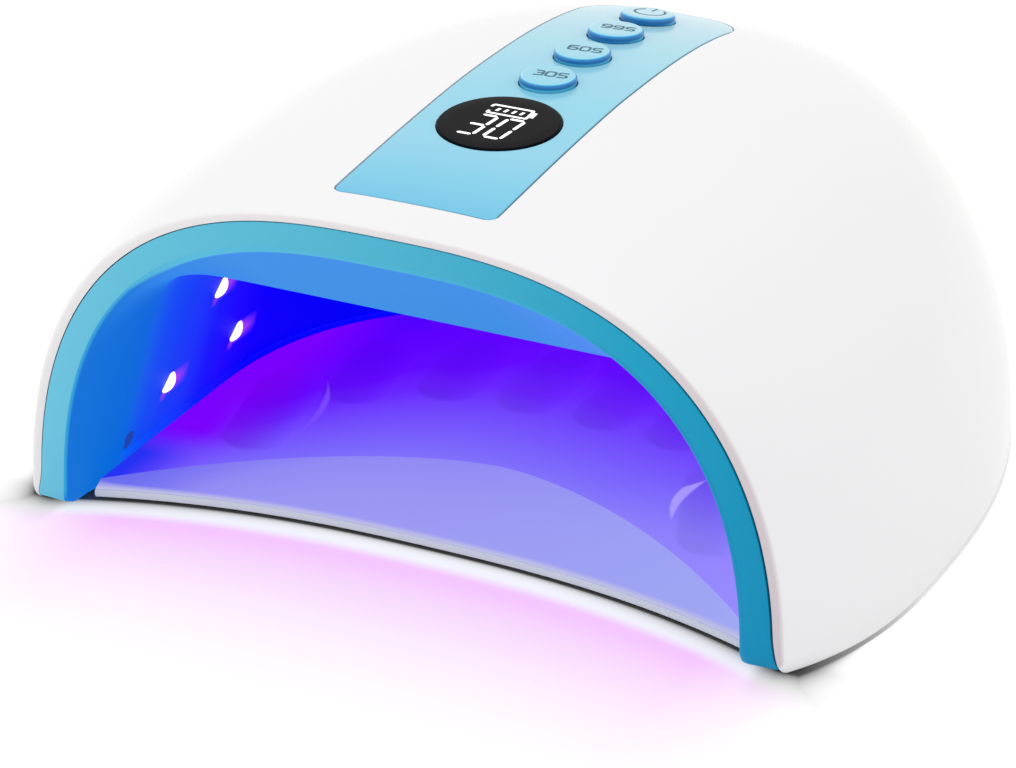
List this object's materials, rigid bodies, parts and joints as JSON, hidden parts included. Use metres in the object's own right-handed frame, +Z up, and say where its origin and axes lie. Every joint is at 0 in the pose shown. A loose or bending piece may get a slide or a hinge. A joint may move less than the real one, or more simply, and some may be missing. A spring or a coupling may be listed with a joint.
{
  "type": "cordless nail lamp",
  "caption": "Dome-shaped cordless lamp that cures nail gel, with a lift-off base tray, timer buttons and a display.",
  "frame": {"origin": "centre of the overall box at the level of the feet", "axes": "+Z up, -Y towards the open front where the hand goes in, +X to the right seen from above with the front below"},
  "size_m": [0.229, 0.225, 0.1012],
  "materials": {
    "shell": "glossy white moulding",
    "bezel": "glossy light-blue moulding",
    "strip": "glossy light-blue moulding",
    "keycap": "glossy light-blue caps with engraved marks",
    "window": "polished black lens",
    "liner": "white reflector, lit blue and violet",
    "tray": "glossy white moulding",
    "bead": "clear lens over a lit chip",
    "sensor": "dark infrared window",
    "inner_plastic": "fine satin",
    "black_plastic": "satin black",
    "board": "green solder mask",
    "lamp_board": "white solder mask",
    "cell": "steel can in a plain blue sleeve",
    "metal": "bright plated steel",
    "rubber": "soft dark rubber"
  },
  "bodies": {
    "tray": {"base_tray": "tray", "tray_magnets": "metal", "tray_feet": "rubber"},
    "lamp": {"top_shell": "shell", "front_bezel": "bezel", "control_strip": "strip", "display_window": "window", "display_module": "black_plastic", "control_board": "board", "board_carrier": "inner_plastic", "tact_switches": "metal", "screw_ring": "inner_plastic", "inner_liner": "liner", "lamp_beads": "bead", "lamp_board_left": "lamp_board", "lamp_board_right": "lamp_board", "lamp_board_roof": "lamp_board", "lamp_board_back": "lamp_board", "hand_sensors": "sensor", "bottom_frame": "inner_plastic", "battery_cells": "cell", "battery_holder": "black_plastic", "charge_board": "board", "charge_socket": "black_plastic", "housing_magnets": "metal", "case_screws": "metal", "board_screws": "metal", "lamp_feet": "rubber"},
    "key_30": {"button_30": "keycap", "plunger_30": "black_plastic"},
    "key_60": {"button_60": "keycap", "plunger_60": "black_plastic"},
    "key_99": {"button_99": "keycap", "plunger_99": "black_plastic"},
    "key_power": {"button_power": "keycap", "plunger_power": "black_plastic"}
  },
  "joints": [
    {"name": "lamp_lift", "type": "slide", "parent": "tray", "child": "lamp", "axis": [0, 0, 1], "range_m": [0, 0.06]},
    {"name": "press_30", "type": "slide", "parent": "lamp", "child": "key_30", "axis": [0, -0.0004, -1], "range_m": [0, 0.0008], "stiffness_N_per_m": 800},
    {"name": "press_60", "type": "slide", "parent": "lamp", "child": "key_60", "axis": [0, -0.0262, -0.9997], "range_m": [0, 0.0008], "stiffness_N_per_m": 800},
    {"name": "press_99", "type": "slide", "parent": "lamp", "child": "key_99", "axis": [0, -0.0824, -0.9966], "range_m": [0, 0.0008], "stiffness_N_per_m": 800},
    {"name": "press_power", "type": "slide", "parent": "lamp", "child": "key_power", "axis": [0, -0.1688, -0.9857], "range_m": [0, 0.0008], "stiffness_N_per_m": 800}
  ]
}
